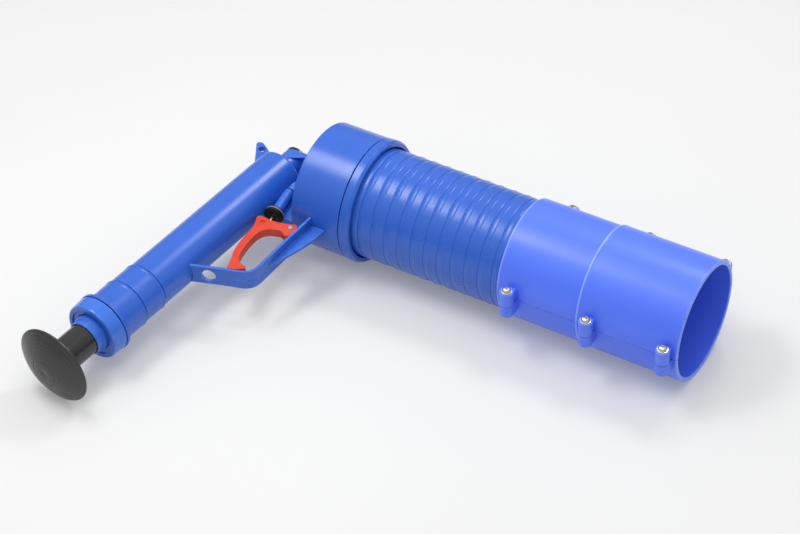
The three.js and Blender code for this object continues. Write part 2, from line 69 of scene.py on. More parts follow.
# ---------- driving dimensions, mm ----------
MM = 0.001  # metres
DRUM_R, DRUM_L = 52.5, 45.6  # rear housing
COLLAR_R = 53.0
MUZZLE_X = 350.0
RIB_X0, RIB_PITCH = 59.8, 12.45
SLEEVE_X0, SLEEVE_STEP = 191.8, 262.5  # rear end, and the step to the wider front
SLEEVE_R1, SLEEVE_R2 = 48.9, 50.1  # outside, behind and ahead of the step
SLEEVE_BORE1, SLEEVE_BORE2 = 47.1, 46.4
SLEEVE_GAP = 0.26  # from the split plane z = 0 to each half
LUG_X, LUG_NEAR, LUG_FAR = (204.9, 274.5, 340.6), 55.8, 54.2  # lugs at -Y near, +Y far
LUG_R, LUG_H, LUG_D = 5.8, 13.0, 11.5  # radius, height above and depth below z = 0
SCREW_R, NUT_TOP = 2.0, -8.2
TUBE_R, TUBE_BORE = 20.7, 17.9  # pump tube
NECK_R = 10.6
PUMP_X = -38.7  # where the pump axis crosses the barrel axis
VALVE_AT, VALVE_R, VALVE_CAP_R = (-16.0, -44.0), 4.6, 8.5
AIR_Z = -7.2  # height of the air passages
PIVOT = (8.6, -65.6)  # trigger hinge
GUARD_HALF, GUARD_T, TRIGGER_HALF = 9.0, 2.4, 4.0
FIT = 0.35  # clearance round the pump tube

# ---------- design frame and turning axes ----------
joints = {joint["name"]: joint for joint in frame["joints"]}


def joint_axis(name):
    return Vector(joints[name]["axis"])


x_dir = -joint_axis("release_slide").normalized()
z_dir = -joint_axis("trigger_hinge").normalized()
y_dir = z_dir.cross(x_dir).normalized()
origin = Vector(joints["trigger_hinge"]["pos_m"]) - (x_dir * PIVOT[0] + y_dir * PIVOT[1]) * MM
TO_WORLD = Matrix((*zip(x_dir, y_dir, z_dir, origin), (0, 0, 0, 1))) @ Matrix.Scale(MM, 4)
to_design = TO_WORLD.inverted().to_3x3()
pump_dir = (to_design @ joint_axis("pump_slide")).normalized()
valve_dir = -(to_design @ joint_axis("valve_slide")).normalized()
X, Y, Z = Vector((1, 0, 0)), Vector((0, 1, 0)), Vector((0, 0, 1))


def across(direction):
    """The XY direction at right angles to another."""
    return Vector((-direction.y, direction.x, 0)).normalized()


def x_axis(x, y, z):
    return (Vector((x, y, z)), X, Y, Z)


def z_axis(x, y):
    return (Vector((x, y, 0)), Z, X, Y)


# An axis is its origin, its direction and two radial directions.
pump_side = across(pump_dir)
if pump_side.x < 0:
    pump_side = -pump_side
BARREL = x_axis(0, 0, 0)
PUMP = (Vector((PUMP_X, 0, 0)), pump_dir, pump_side, Z)
VALVE = (Vector((*VALVE_AT, 0)), valve_dir, across(valve_dir), Z)
PIVOT_AXIS = z_axis(*PIVOT)


# ---------- outlines ----------
def rounded(points, closed, steps=5):
    """Turns the corners of a profile of (along, radius[, corner radius]) into arcs."""
    corners = [(*point, 0.0)[:3] for point in points]
    out, count = [], len(corners)
    for i, (along, radius, corner_r) in enumerate(corners):
        if corner_r <= 0 or (not closed and i in (0, count - 1)):
            out.append((along, radius))
            continue
        corner = Vector((along, radius))
        back = Vector(corners[i - 1][:2]) - corner
        ahead = Vector(corners[(i + 1) % count][:2]) - corner
        back_len, ahead_len = back.length, ahead.length
        back, ahead = back / back_len, ahead / ahead_len
        angle = math.acos(max(-1, min(1, back.dot(ahead))))
        if angle > math.pi - 0.02:  # as good as straight
            out.append((along, radius))
            continue
        trim = min(corner_r / math.tan(angle / 2), back_len * 0.49, ahead_len * 0.49)
        arc_r = trim * math.tan(angle / 2)
        centre = corner + (back + ahead).normalized() * (arc_r / math.sin(angle / 2))
        first, last = corner + back * trim - centre, corner + ahead * trim - centre
        start = math.atan2(first.y, first.x)
        turn = math.atan2(last.y, last.x) - start
        turn = (turn + math.pi) % (2 * math.pi) - math.pi
        for k in range(steps + 1):
            a = start + turn * k / steps
            out.append((centre.x + arc_r * math.cos(a), max(0.0, centre.y + arc_r * math.sin(a))))
    return out


def hold(profile, closed, end=0.3, step=6.0):
    """Adds rows near both ends of each long run, so smooth shading stays next to the corners."""
    out, count = [], len(profile)
    for i in range(count if closed else count - 1):
        (a0, r0), (a1, r1) = profile[i], profile[(i + 1) % count]
        out.append((a0, r0))
        length = math.hypot(a1 - a0, r1 - r0)
        if length > 1.2:
            inner = max(1, int((length - 2 * end) / step))
            for k in range(inner + 1):
                t = (end + (length - 2 * end) * k / inner) / length
                out.append((a0 + (a1 - a0) * t, r0 + (r1 - r0) * t))
    if not closed:
        out.append(profile[-1])
    return out


def smooth_loop(points, per, closed=True):
    """A Catmull-Rom curve through the points, with per points to each span."""
    out, count = [], len(points)
    for i in range(count if closed else count - 1):
        near = [k % count if closed else max(0, min(count - 1, k)) for k in range(i - 1, i + 3)]
        p0, p1, p2, p3 = (Vector(points[k]) for k in near)
        for step in range(per):
            t = step / per
            out.append(0.5 * ((2 * p1) + (p2 - p0) * t + (2 * p0 - 5 * p1 + 4 * p2 - p3) * t * t
                              + (3 * p1 - p0 - 3 * p2 + p3) * t ** 3))
    if not closed:
        out.append(Vector(points[-1]))
    return [(p.x, p.y) for p in out]


def divided(points, step=1.5):
    """A polygon with evenly spaced points added, so that its rims round evenly."""
    out = []
    for i, (x0, y0) in enumerate(points):
        x1, y1 = points[(i + 1) % len(points)]
        count = max(1, int(math.hypot(x1 - x0, y1 - y0) / step))
        out += [(x0 + (x1 - x0) * k / count, y0 + (y1 - y0) * k / count) for k in range(count)]
    return out


def plate_outline(x0, x1, y0, y1, r, steps=6):
    """A rectangle with corners of radius r."""
    out = []
    for cx, cy, start in ((x1 - r, y1 - r, 0), (x0 + r, y1 - r, 90),
                          (x0 + r, y0 + r, 180), (x1 - r, y0 + r, 270)):
        for k in range(steps + 1):
            a = math.radians(start + 90 * k / steps)
            out.append((cx + r * math.cos(a), cy + r * math.sin(a)))
    return out


def disc(x, y, r, count=64):
    angles = [2 * math.pi * k / count for k in range(count)]
    return [(x + r * math.cos(a), y + r * math.sin(a)) for a in angles]


def capsule(x, y, r, inner, steps=40):
    """Plan of a lug: round outside, with straight sides running in under the shell."""
    side = 1 if y > 0 else -1
    reach = abs(y)
    angles = [math.pi * k / steps for k in range(steps + 1)]
    points = [(x + r * math.cos(a), side * (reach + r * math.sin(a))) for a in angles]
    ys = [reach - (reach - inner) * k / 6 for k in range(1, 7)]
    points += [(x - r, side * y) for y in ys]
    points += [(x - r * (1 - 2 * k / 8), side * inner) for k in range(1, 8)]
    return points + [(x + r, side * y) for y in reversed(ys)]


# ---------- solids, in design millimetres until place() ----------
def make(verts, faces):
    mesh = bpy.data.meshes.new("shape")
    mesh.from_pydata([tuple(v) for v in verts], [], faces)
    mesh.validate()
    bm = bmesh.new()
    bm.from_mesh(mesh)
    bmesh.ops.remove_doubles(bm, verts=bm.verts, dist=1e-5)
    bmesh.ops.recalc_face_normals(bm, faces=bm.faces)
    if bm.calc_volume(signed=True) < 0:
        bmesh.ops.reverse_faces(bm, faces=bm.faces)
    bm.to_mesh(mesh)
    bm.free()
    shape = bpy.data.objects.new("shape", mesh)
    bpy.context.scene.collection.objects.link(shape)
    return shape


def lathe(points, axis, segs=160, steps=5, arc=None, flat=0.0):
    """Revolves a profile of (along, radius[, corner radius]). An arc of (start, end) makes a
    part turn with closed ends, drawn in to planes at the height flat."""
    on_axis = points[0][1] == 0 and points[-1][1] == 0
    profile = hold(rounded(points, not on_axis, steps), not on_axis)
    start, end = arc or (0, 2 * math.pi)
    base, direction, side_a, side_b = axis
    verts, rows = [], []
    for k in range(segs + 1 if arc else segs):
        row = []
        for along, r in profile:
            inset = math.asin(min(0.99, flat / max(r, 1e-6)))
            a = (start + inset) + (end - start - 2 * inset) * k / segs
            row.append(len(verts))
            verts.append(base + direction * along
                         + (side_a * math.cos(a) + side_b * math.sin(a)) * r)
        rows.append(row)
    if on_axis:  # all rows share the two poles
        for row in rows:
            row[0], row[-1] = rows[0][0], rows[0][-1]
    faces, count = [], len(profile)
    for k in range(segs):
        here, there = rows[k], rows[(k + 1) % len(rows)]
        for i in range(count - 1 if on_axis else count):
            j = (i + 1) % count
            faces.append([here[i], here[j], there[j], there[i]])
    if arc:
        faces += [list(rows[0]), rows[-1][::-1]]
    faces = [list(dict.fromkeys(face)) for face in faces]
    return make(verts, [face for face in faces if len(face) > 2])


def rod(start, end, r, axis, segs=64):
    return lathe([(start, 0), (start, r), (end, r), (end, 0)], axis, segs)


def ring(along, ring_r, wire_r, axis, segs=128, sides=16):
    angles = [2 * math.pi * k / sides for k in range(sides)]
    return lathe([(along + wire_r * math.sin(a), ring_r + wire_r * math.cos(a)) for a in angles],
                 axis, segs)


def prism(points, z0, z1):
    n = len(points)
    verts = [Vector((x, y, z)) for z in (z0, z1) for x, y in points]
    faces = [list(range(n))[::-1], list(range(n, 2 * n))]
    faces += [[i, (i + 1) % n, n + (i + 1) % n, n + i] for i in range(n)]
    return make(verts, faces)


def rounded_prism(points, z0, z1, low_r, steps=4, high_r=None):
    """A prism whose rims at z0 and z1 are rounded inwards by low_r and high_r."""
    high_r = low_r if high_r is None else high_r
    n = len(points)
    pairs = [(points[i], points[(i + 1) % n]) for i in range(n)]
    if sum(p[0] * q[1] - q[0] * p[1] for p, q in pairs) < 0:
        points = points[::-1]
    normals = []
    for i in range(n):
        (x0, y0), (x1, y1) = points[i - 1], points[(i + 1) % n]
        dx, dy = x1 - x0, y1 - y0
        length = math.hypot(dx, dy) or 1.0
        normals.append((dy / length, -dx / length))
    bends = [math.pi / 2 * k / steps for k in range(steps + 1)]
    layers = [(z0 + low_r * (1 - math.cos(a)), low_r * (1 - math.sin(a))) for a in bends]
    layers += [(z1 - high_r * (1 - math.cos(a)), high_r * (1 - math.sin(a)))
               for a in reversed(bends)]
    verts = [Vector((x - nx * inset, y - ny * inset, z))
             for z, inset in layers for (x, y), (nx, ny) in zip(points, normals)]
    top = (len(layers) - 1) * n
    faces = [list(range(n))[::-1], list(range(top, top + n))]
    for low in range(0, top, n):
        for i in range(n):
            j = (i + 1) % n
            faces.append([low + i, low + j, low + n + j, low + n + i])
    return make(verts, faces)


def coil(start, end, coil_r, wire, turns, axis, per=40, sides=12):
    base, direction, side_a, side_b = axis
    rise = end - start - 2 * wire
    n = int(turns * per)
    verts, faces = [], []
    for k in range(n + 1):
        t = k / n
        a = 2 * math.pi * turns * t
        radial = side_a * math.cos(a) + side_b * math.sin(a)
        centre = base + direction * (start + wire + rise * t) + radial * coil_r
        tangent = ((-side_a * math.sin(a) + side_b * math.cos(a)) * coil_r * 2 * math.pi * turns
                   + direction * rise).normalized()
        binormal = tangent.cross(radial).normalized()
        for s in range(sides):
            q = 2 * math.pi * s / sides
            verts.append(centre + (radial * math.cos(q) + binormal * math.sin(q)) * wire)
    for low in range(0, n * sides, sides):
        for s in range(sides):
            t = (s + 1) % sides
            faces.append([low + s, low + t, low + sides + t, low + sides + s])
    faces.append(list(range(sides))[::-1])
    faces.append(list(range(n * sides, (n + 1) * sides)))
    return make(verts, faces)


def boolean(body, tool, operation):
    """Applies a boolean and removes the tool. The exact solver steps in where the manifold
    one returns nothing or leaves the face count as it was."""
    face_count = len(body.data.polygons)
    for solver in ("MANIFOLD", "EXACT"):
        mod = body.modifiers.new("b", "BOOLEAN")
        mod.operation, mod.solver, mod.object = operation, solver, tool
        mesh = evaluated_mesh(body)
        if solver == "EXACT" or len(mesh.polygons) not in (0, face_count):
            swap_mesh(body, mesh)
            break
        bpy.data.meshes.remove(mesh)
    bpy.data.objects.remove(tool)


def evaluated_mesh(shape):
    """A new mesh with the modifiers applied; they are cleared from the object."""
    bpy.context.view_layer.update()
    depsgraph = bpy.context.evaluated_depsgraph_get()
    mesh = bpy.data.meshes.new_from_object(shape.evaluated_get(depsgraph))
    shape.modifiers.clear()
    return mesh


def swap_mesh(shape, mesh):
    old = shape.data
    shape.data = mesh
    bpy.data.meshes.remove(old)


def cut(body, *tools):
    for tool in tools:
        boolean(body, tool, "DIFFERENCE")
    return body


def fuse(body, *tools):
    for tool in tools:
        boolean(body, tool, "UNION")
    return body


def largest(shape):
    """Keeps the separate body of an object that has the largest bounding box."""
    bm = bmesh.new()
    bm.from_mesh(shape.data)
    bmesh.ops.remove_doubles(bm, verts=bm.verts, dist=1e-4)
    seen, parts = set(), []
    for vert in bm.verts:
        if vert in seen:
            continue
        stack, part = [vert], []
        seen.add(vert)
        while stack:
            current = stack.pop()
            part.append(current)
            for edge in current.link_edges:
                other = edge.other_vert(current)
                if other not in seen:
                    seen.add(other)
                    stack.append(other)
        parts.append(part)

    def size(part):
        return sum(max(v.co[k] for v in part) - min(v.co[k] for v in part) for k in range(3))

    parts.sort(key=size)
    for part in parts[:-1]:
        bmesh.ops.delete(bm, geom=part, context="VERTS")
    bm.to_mesh(shape.data)
    bm.free()
    return shape


# ---------- placing ----------
def tidy(mesh):
    """Joins points a few microns apart and drops the faces that collapse. A mesh that this
    would open is tried at other distances, and otherwise left alone."""
    for dist in (0.002, 0.001, 0.0004, 0.005, 0.01):
        bm = bmesh.new()
        bm.from_mesh(mesh)
        bmesh.ops.remove_doubles(bm, verts=bm.verts, dist=dist)
        bmesh.ops.dissolve_degenerate(bm, edges=bm.edges, dist=dist / 2)
        closed = all(len(edge.link_faces) == 2 for edge in bm.edges)
        if closed:
            bm.to_mesh(mesh)
        bm.free()
        if closed:
            return


def place(shape, node, material, angle=32, mover=None):
    """Moves a shape into the world, shades it and lets it ride on its node's body. A spring
    gives a mover instead: it keeps its world transform baked in and rides on no body."""
    tidy(shape.data)
    shape.data.transform(TO_WORLD)
    shape.name = node + "_look"
    shape.data.name = shape.name
    shape.data.shade_smooth()
    shape.data.set_sharp_from_angle(angle=math.radians(angle))
    mod = shape.modifiers.new("wn", "WEIGHTED_NORMAL")
    mod.mode, mod.weight, mod.keep_sharp = "FACE_AREA", 80, True
    swap_mesh(shape, evaluated_mesh(shape))
    shape.data.name = shape.name
    shape.data.materials.clear()
    shape.data.materials.append(material)
    if mover:
        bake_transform(shape)
    else:
        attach(shape, BODY[node])
    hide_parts(node)


def turned(node, material, axis, profile, segs=160, angle=32):
    place(lathe(profile, axis, segs), node, material, angle)


def spring(node, axis, start, end, coil_r, wire, turns, mover):
    place(coil(start, end, coil_r, wire, turns, axis), node, SPRING, mover=mover)


# ---------- materials ----------
class Shader:
    """A material with a Principled BSDF; its methods add nodes and return their outputs."""

    def __init__(self, name):
        self.material = bpy.data.materials.new(name)
        self.material.use_nodes = True
        self.tree = self.material.node_tree
        self.tree.nodes.clear()
        out = self.tree.nodes.new("ShaderNodeOutputMaterial")
        self.bsdf = self.tree.nodes.new("ShaderNodeBsdfPrincipled")
        self.feed(out.inputs[0], self.bsdf.outputs[0])
        self.coords = self.add("ShaderNodeTexCoord", {}, output="Object")

    def feed(self, socket, value):
        """Links an output to a socket, or sets the socket's value."""
        if hasattr(value, "links"):
            self.tree.links.new(value, socket)
        elif value is not None:
            socket.default_value = (*value, 1) if socket.type == "RGBA" else value

    def add(self, kind, inputs, output=0, **settings):
        node = self.tree.nodes.new(kind)
        for key, value in settings.items():
            setattr(node, key, value)
        for key, value in inputs.items():
            self.feed(node.inputs[key], value)
        return node.outputs[output]

    def surface(self, inputs):
        for key, value in inputs.items():
            self.feed(self.bsdf.inputs[key], value)

    def mapped(self, scale, turn=(0, 0, 0)):
        return self.add("ShaderNodeMapping",
                        {"Scale": scale, "Rotation": turn, "Vector": self.coords})

    def noise(self, scale, detail=4, rough=0.55, vector=None):
        return self.add("ShaderNodeTexNoise", {
            "Scale": scale, "Detail": detail, "Roughness": rough,
            "Vector": self.coords if vector is None else vector}, output="Fac")

    def ramp(self, value, *stops):
        """A colour ramp with two stops of (position, grey)."""
        node = self.tree.nodes.new("ShaderNodeValToRGB")
        for element, (position, grey) in zip(node.color_ramp.elements, stops):
            element.position = position
            element.color = (grey, grey, grey, 1)
        self.feed(node.inputs[0], value)
        return node.outputs[0]

    def mix(self, factor, a, b):
        return self.add("ShaderNodeMix", {0: factor, 6: a, 7: b}, output=2, data_type="RGBA")

    def calc(self, operation, a, b=0.0):
        return self.add("ShaderNodeMath", {0: a, 1: b}, operation=operation)

    def tint(self, colour, towards, mask, amount):
        return self.mix(self.calc("MULTIPLY", mask, amount), colour, towards)

    def spread(self, value, low, high):
        return self.add("ShaderNodeMapRange", {0: value, 3: low, 4: high})

    def bump(self, height, distance, strength, normal=None):
        return self.add("ShaderNodeBump", {"Distance": distance, "Strength": strength,
                                           "Height": height, "Normal": normal})

    def bevel(self, radius):
        return self.add("ShaderNodeBevel", {"Radius": radius}, samples=6)


USUAL_SCUFF = 0.3


def plastic(name, base, pale_wear_and_highlight, dark, rough, spec=0.5, grain=0.3, bevel=0.0004,
            scuff=USUAL_SCUFF, painted_highlight_bands=()):
    """Moulded plastic: slow colour drift, fine orange-peel, hairline scratches and paler edges,
    which are partly wear and partly painted edge highlight, with painted shade in the hollows.
    Painted highlight bands are paler rings of (place along the barrel mm, half width mm, amount)."""
    s = Shader(name)
    slow = s.noise(scale=9, detail=3, rough=0.5)
    fine = s.noise(scale=60, detail=4, rough=0.6)
    colour = s.mix(s.spread(slow, low=0.0, high=0.75), base, dark)
    colour = s.tint(colour, pale_wear_and_highlight, s.spread(fine, low=0.0, high=1.0), amount=0.05)
    # paler edges, partly wear and partly painted edge highlight, and painted shade darkening the
    # hollows
    pointiness = s.add("ShaderNodeNewGeometry", {}, output="Pointiness")
    edge_wear_and_highlight = s.ramp(pointiness, (0.505, 0.0), (0.56, 1.0))
    breakup = s.ramp(s.noise(scale=140, detail=5, rough=0.65), (0.40, 0.15), (0.62, 1.0))
    colour = s.tint(colour, pale_wear_and_highlight, s.calc("MULTIPLY", edge_wear_and_highlight, breakup), amount=0.38)
    # painted shade: concave hollows are darkened towards half the dark tone
    painted_hollow_shade = s.ramp(pointiness, (0.42, 1.0), (0.492, 0.0))
    colour = s.tint(colour, tuple(c * 0.5 for c in dark), painted_hollow_shade, amount=0.30)

    # hairline scratches in two directions, in patches
    def scratches(scale, turn, *stops):
        stretched = s.mapped(scale=scale, turn=turn)
        return s.ramp(s.noise(scale=1.0, detail=2, rough=0.5, vector=stretched), *stops)

    lines_a = scratches((1600, 60, 60), (0.3, 0.1, 0.5), (0.66, 0.0), (0.72, 1.0))
    lines_b = scratches((70, 1500, 80), (0.2, 0.6, 1.1), (0.68, 0.0), (0.73, 1.0))
    both = s.calc("MAXIMUM", lines_a, lines_b)
    patches = s.ramp(s.noise(scale=14, detail=3), (0.5, 0.0), (0.66, 1.0))
    scratched = s.calc("MULTIPLY", both, patches)
    colour = s.tint(colour, pale_wear_and_highlight, scratched, amount=0.10 * scuff / USUAL_SCUFF)
    # painted highlights: paler rings across the part where its edges catch the light
    if painted_highlight_bands:
        dot = s.add("ShaderNodeVectorMath", {0: s.coords, 1: x_dir}, output="Value",
                    operation="DOT_PRODUCT")
        along = s.calc("SUBTRACT", dot, origin.dot(x_dir))
    for at, half, amount in painted_highlight_bands:
        away = s.calc("ABSOLUTE", s.calc("SUBTRACT", along, at * MM))
        near = s.calc("SUBTRACT", 1.0, s.calc("DIVIDE", away, half * MM))
        above = s.calc("MAXIMUM", s.calc("MULTIPLY", near, 2.0), 0.0)
        colour = s.tint(colour, pale_wear_and_highlight, s.calc("MINIMUM", above, 1.0), amount)
    s.surface({"Base Color": colour})
    satin = s.spread(s.noise(scale=35, detail=5, rough=0.6), low=rough - 0.06, high=rough + 0.07)
    s.surface({"Roughness": s.calc("ADD", satin, s.calc("MULTIPLY", scratched, 0.10))})
    peel = s.calc("MULTIPLY", s.noise(scale=650, detail=3, rough=0.6), grain)
    scores = s.calc("MULTIPLY", scratched, -0.25 * scuff / USUAL_SCUFF)
    height = s.calc("ADD", peel, scores)
    normal = s.bevel(bevel)
    normal = s.bump(s.noise(scale=38, detail=2, rough=0.4), distance=0.0003, strength=0.07,
                    normal=normal)
    s.surface({"Normal": s.bump(height, distance=0.00006, strength=0.5, normal=normal),
               "Specular IOR Level": spec})
    return s.material


def steel(name, base, rough):
    """Turned metal with fine lines and a few dull spots."""
    s = Shader(name)
    drift = s.spread(s.noise(scale=300), low=0.0, high=0.5)
    colour = s.mix(drift, base, tuple(c * 0.78 for c in base))
    spots = s.ramp(s.noise(scale=900, detail=3), (0.62, 0.0), (0.70, 1.0))
    s.surface({
        "Base Color": s.tint(colour, (0.35, 0.33, 0.31), spots, amount=0.25),
        "Metallic": 1.0,
        "Roughness": s.spread(s.noise(scale=500, detail=5, rough=0.7),
                              low=rough - 0.04, high=rough + 0.14)})
    lines = s.noise(scale=1.0, detail=2, rough=0.5, vector=s.mapped(scale=(3000, 3000, 150)))
    s.surface({"Normal": s.bump(lines, distance=0.00003, strength=0.25,
                                normal=s.bevel(0.00012))})
    return s.material


def rubber(name, base, rough=0.62, transmission=0.0):
    s = Shader(name)
    pale = tuple(min(1, c * 1.6 + 0.01) for c in base)
    s.surface({
        "Base Color": s.mix(s.spread(s.noise(scale=120), low=0.0, high=1.0), base, pale),
        "Roughness": s.spread(s.noise(scale=260), low=rough - 0.1, high=rough + 0.12),
        "Normal": s.bump(s.noise(scale=1400, detail=3), distance=0.00005, strength=0.4)})
    if transmission:
        s.surface({"Transmission Weight": transmission, "IOR": 1.42})
    return s.material


BLUE = plastic("royal_blue_moulded", base=(0.019, 0.108, 0.530), pale_wear_and_highlight=(0.13, 0.31, 0.85),
               dark=(0.014, 0.086, 0.460), rough=0.28)
BLUE_CAP = plastic("royal_blue_cap", base=(0.028, 0.140, 0.620), pale_wear_and_highlight=(0.17, 0.37, 0.90),
                   dark=(0.021, 0.116, 0.550), rough=0.22, spec=0.55)
# the sleeve's paler rings are painted highlights at its rear edge, its step and the muzzle rim
VIOLET = plastic("violet_blue_sleeve", base=(0.074, 0.170, 0.890), pale_wear_and_highlight=(0.30, 0.44, 1.0),
                 dark=(0.056, 0.135, 0.820), rough=0.34, grain=0.40, bevel=0.0007,
                 painted_highlight_bands=((SLEEVE_X0 + 0.5, 1.2, 0.5), (SLEEVE_STEP + 0.9, 1.0, 0.6),
                        (MUZZLE_X - 0.3, 0.8, 0.35)))
RED = plastic("orange_red_trigger", base=(0.60, 0.036, 0.012), pale_wear_and_highlight=(0.85, 0.14, 0.06),
              dark=(0.52, 0.028, 0.009), rough=0.36, spec=0.4, grain=0.4)
CHARCOAL = plastic("charcoal_knob", base=(0.028, 0.027, 0.029), pale_wear_and_highlight=(0.12, 0.12, 0.12),
                   dark=(0.019, 0.018, 0.020), rough=0.34, grain=0.5, scuff=0.5)
BLACK = plastic("black_rod", base=(0.014, 0.013, 0.014), pale_wear_and_highlight=(0.07, 0.07, 0.07),
                dark=(0.010, 0.009, 0.010), rough=0.20, spec=0.55, grain=0.2)
BLACK_CAP = plastic("black_valve_cap", base=(0.006, 0.006, 0.007), pale_wear_and_highlight=(0.05, 0.05, 0.05),
                    dark=(0.004, 0.004, 0.004), rough=0.44, spec=0.20, grain=0.2)
STEEL = steel("polished_steel", base=(0.66, 0.65, 0.64), rough=0.16)
SPRING = steel("spring_steel", base=(0.62, 0.62, 0.61), rough=0.22)
BRASS = steel("turned_brass", base=(0.78, 0.60, 0.30), rough=0.22)
RUBBER = rubber("black_rubber", base=(0.020, 0.020, 0.021))
SILICONE = rubber("pale_silicone", base=(0.34, 0.36, 0.37), rough=0.28, transmission=0.5)
PIN_STEEL = steel("pin_steel", base=(0.45, 0.52, 0.66), rough=0.3)

# ---------- barrel group; profiles are (along, radius[, corner radius]) ----------
turned("rear_housing", BLUE, BARREL, [
    (0, 0), (0, 50.9, 1.2), (1.2, DRUM_R, 0.9), (DRUM_L - 0.3, DRUM_R, 0.25),
    (DRUM_L - 0.3, 48.2, 0.2), (5, 48.2, 1.0), (5, 0)], segs=200)
turned("union_collar", BLUE, BARREL, [
    (37.4, 44.1), (37.4, 47.7, 0.3), (46.5, 47.7, 0.2), (46.5, COLLAR_R, 0.25),
    (52.9, COLLAR_R, 0.45), (55.2, 51.4, 0.35), (55.2, 48.4, 0.5), (53.6, 47.9, 0.3),
    (48.4, 47.9, 0.3), (48.4, 46.4, 0.5), (46.8, 44.1, 0.2)], segs=200)


def rib_profile():
    """The rear spigot with its ring groove, then bands that each climb out of a fine groove
    to a sharp crest and fall gently to the next groove."""
    start_x, base_r, taper = 49.2, 45.9, 0.5
    peak = 0.40  # share of the pitch at which the crest stands
    rise, crest, groove = 0.84, 0.30, 0.18
    lead_len, lead_drop = 5.0, 0.3  # the relief fades in over the first stretch
    profile = rounded([
        (31.0, 42.0), (31.0, 47.6, 0.3), (32.6, 47.6, 0.1), (32.6, 46.0, 0.1), (35.2, 46.0, 0.1),
        (35.2, 47.6, 0.1), (36.9, 47.6, 0.3), (36.9, 43.6, 0.2), (47.2, 43.6, 0.3),
        (48.8, 45.4, 0.3)], False, 3)
    x = start_x
    while x < 60.0 + 12 * RIB_PITCH:
        u = ((x - RIB_X0) / RIB_PITCH) % 1.0
        drop = taper * max(0.0, min(1.0, (x - RIB_X0) / (11 * RIB_PITCH)))
        if u < peak:
            climb = 1 - (1 - u / peak) ** 2.2
        else:
            climb = 1 - 0.30 * ((u - peak) / 0.60) ** 1.3
        edge = max(0.0, 1 - abs(u - peak) / 0.04)
        notch = max(0.0, 1 - min(u, 1 - u) / 0.05)
        lead = min(1.0, (x - start_x) / lead_len)
        profile.append((x, base_r - drop + rise * climb * lead + crest * edge * lead
                        - groove * notch * lead - lead_drop * (1 - lead)))
        x += RIB_PITCH / 40
    return profile + [(x + 0.5, 45.0), (299.0, 45.0), (300.0, 44.2), (300.0, 42.0)]


turned("ribbed_barrel", BLUE, BARREL, rib_profile(), segs=150, angle=50)
place(ring(33.9, 46.95, 0.8, BARREL), "housing_oring", RUBBER)
turned("outlet_tube", BLACK, BARREL, [
    (28.6, 18.0, 0.2), (28.6, 20.5, 0.9), (296.5, 20.5, 0.3), (296.5, 18.0, 0.3)], segs=96)
turned("barrel_plug", BLUE, BARREL, [
    (288, 21.0, 0.2), (288, 41.5, 0.5), (292.4, 41.5, 0.1), (292.4, 39.7, 0.1),
    (295.2, 39.7, 0.1), (295.2, 41.5, 0.1), (300.4, 41.5, 0.1), (300.4, 45.0, 0.3),
    (305.0, 45.0, 0.9), (305.0, 40.0, 0.5), (303.4, 38.5, 0.5), (303.4, 25.0, 0.5),
    (305.0, 23.5, 0.5), (305.0, 18.0, 0.6), (297.0, 18.0, 0.1), (297.0, 21.0, 0.1)])
place(ring(293.8, 40.75, 0.85, BARREL), "plug_oring", RUBBER)
turned("release_piston", BLACK, BARREL, [
    (14.2, 0), (14.2, 12.5, 0.5), (11, 12.5, 0.5), (11, 47.5, 0.4), (13.2, 47.5, 0.1),
    (13.2, 45.6, 0.1), (15.8, 45.6, 0.1), (15.8, 47.5, 0.1), (18.5, 47.5, 0.5),
    (18.5, 24, 1.0), (23.8, 23, 0.5), (23.8, 0)], segs=128)
place(ring(14.5, 46.62, 0.85, BARREL), "release_piston_oring", RUBBER)
turned("release_pad", RUBBER, BARREL, [
    (24.0, 0), (24.0, 22.2, 0.3), (28.3, 22.2, 0.8), (28.3, 0)], segs=96)
spring("release_spring", BARREL, start=5.4, end=13.9, coil_r=9, wire=0.5, turns=3,
       mover="release_slider")

# ---------- clamp sleeve ----------
LUGS = [(f"{side}_{i}", x, y) for i, x in enumerate(LUG_X, 1)
        for side, y in (("near", -LUG_NEAR), ("far", LUG_FAR))]
LUG_INNER = 44.0  # how far in the lugs reach
WASHER_Z = LUG_H + 0.1
HEAD_Z = LUG_H + 1.0
NUT_H, NUT_R = 3.0, 4.04  # height, and radius to the corners


